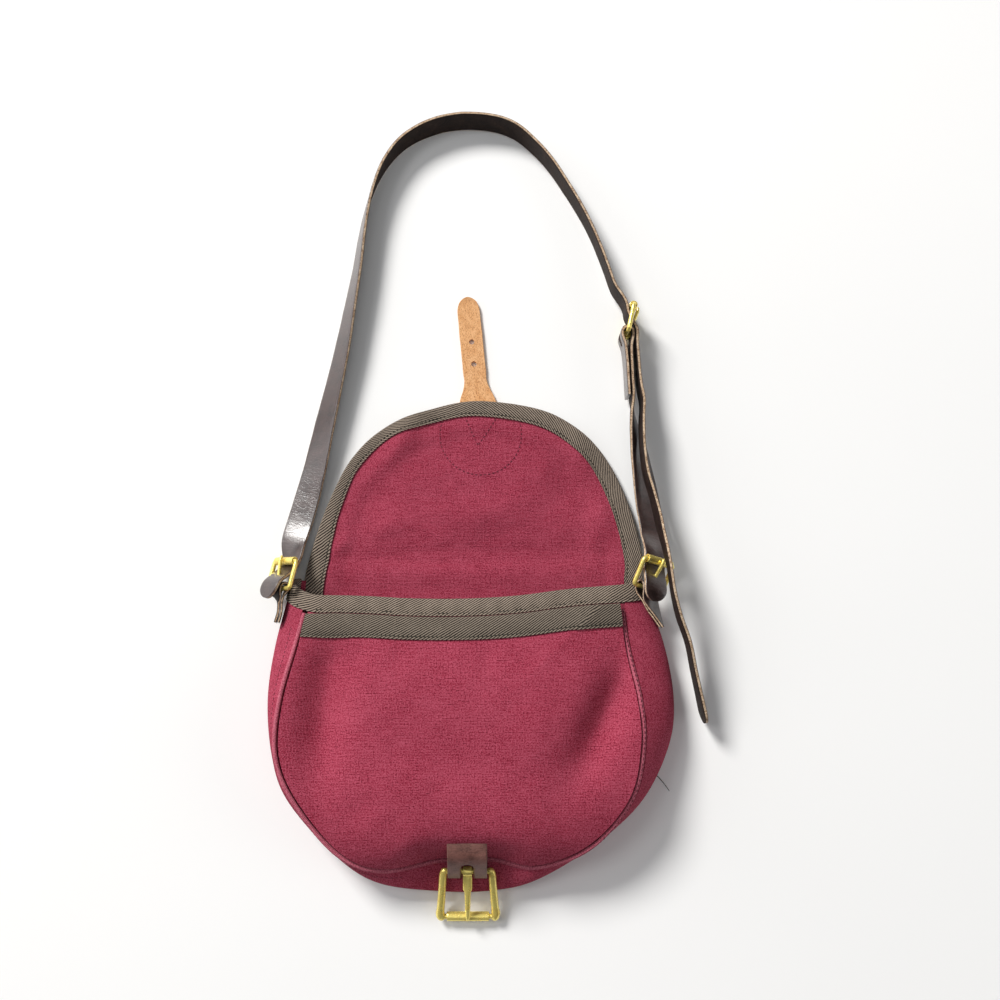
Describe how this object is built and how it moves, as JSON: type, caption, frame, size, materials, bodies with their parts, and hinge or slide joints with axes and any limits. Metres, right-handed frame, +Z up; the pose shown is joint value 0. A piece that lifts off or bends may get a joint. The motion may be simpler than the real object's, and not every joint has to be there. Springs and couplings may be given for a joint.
{
  "type": "canvas shoulder bag",
  "caption": "Soft canvas shoulder bag with tape-bound flap, front slip pocket, leather shoulder strap and brass roller buckles, lying on its back with the flap open.",
  "frame": {"origin": "middle of the object's footprint, on the surface that it lies on", "axes": "+Z up off the surface, +Y from the bag's bottom towards the open flap and the shoulder strap's loop, +X to the right seen from above"},
  "size_m": [0.3036, 0.5708, 0.0471],
  "materials": {
    "canvas": "matte plain weave",
    "tape": "matte twill",
    "leather": "smooth waxed grain, raw cut edges",
    "brass": "polished, handled"
  },
  "bodies": {
    "bag": {"back_panel": "canvas", "gusset": "canvas", "front_panel": "canvas", "front_pocket": "canvas", "front_welt": "canvas", "mouth_binding": "tape", "pocket_binding": "tape", "flap_binding": "tape", "flap_strap": "leather", "closure_tab": "leather", "left_tab": "leather", "right_tab": "leather", "long_strap": "leather", "short_strap": "leather", "left_frame": "brass", "left_prong": "brass", "left_roller": "brass", "right_frame": "brass", "right_prong": "brass", "right_roller": "brass", "adjuster_frame": "brass", "adjuster_prong": "brass", "adjuster_roller": "brass"},
    "buckle_frame": {"closure_frame": "brass"},
    "buckle_prong": {"closure_prong": "brass"},
    "buckle_roller": {"closure_roller": "brass"}
  },
  "joints": [
    {"name": "buckle_swing", "type": "hinge", "parent": "bag", "child": "buckle_frame", "pos_m": [-0.00866, -0.25143, 0.02036], "axis": [-1, 0, 0], "range_deg": [-1, 60]},
    {"name": "prong_lift", "type": "hinge", "parent": "buckle_frame", "child": "buckle_prong", "pos_m": [-0.00866, -0.25143, 0.02036], "axis": [-1, 0, 0], "range_deg": [0, 60]},
    {"name": "roller_spin", "type": "hinge", "parent": "buckle_frame", "child": "buckle_roller", "pos_m": [-0.00866, -0.28243, 0.005], "axis": [1, 0, 0], "continuous": true}
  ]
}
